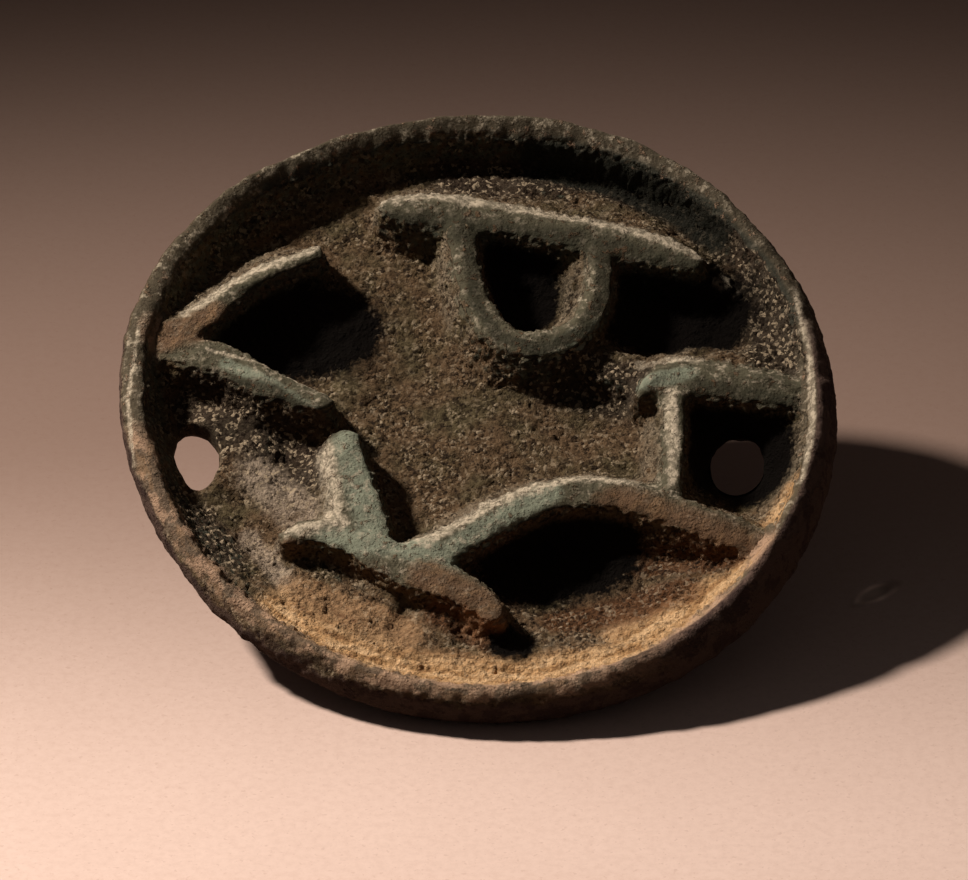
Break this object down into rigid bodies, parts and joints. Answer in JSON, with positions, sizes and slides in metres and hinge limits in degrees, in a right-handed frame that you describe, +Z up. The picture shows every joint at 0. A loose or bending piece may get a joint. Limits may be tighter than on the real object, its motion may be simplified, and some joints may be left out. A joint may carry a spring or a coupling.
{
  "type": "seal matrix",
  "caption": "Round cast bronze seal: a shallow dish with raised ribs that print an abstract sign, cord holes beside its rim and a pierced lug on its back.",
  "frame": {"origin": "under the middle of the box around the seal, on the table that it leans on", "axes": "+Z up; the dish leans on its lug and on its low edge, its low edge is towards -Y, and +X is to the right of its face as one looks along +Y"},
  "size_m": [0.0502, 0.0454, 0.0252],
  "materials": {
    "bronze_floor": "matt, grainy brown crust of corrosion and earth",
    "bronze_wall": "matt dark olive patina with a paler worn lip",
    "bronze_rib": "satin grey-green patina on the crests, sandy earth on the flanks",
    "bronze_back": "matt dark brown patina"
  },
  "bodies": {
    "root": {"face_plate": "bronze_floor", "rim_wall": "bronze_wall", "back_lug": "bronze_back", "star_cross_bar": "bronze_rib", "chevron_rib": "bronze_rib", "star_upper_arm": "bronze_rib", "fork_upper_arm": "bronze_rib", "fork_lower_arm": "bronze_rib", "top_bar": "bronze_rib", "hanging_loop": "bronze_rib", "right_bar": "bronze_rib", "right_post": "bronze_rib", "low_shelf": "bronze_rib"}
  },
  "joints": []
}
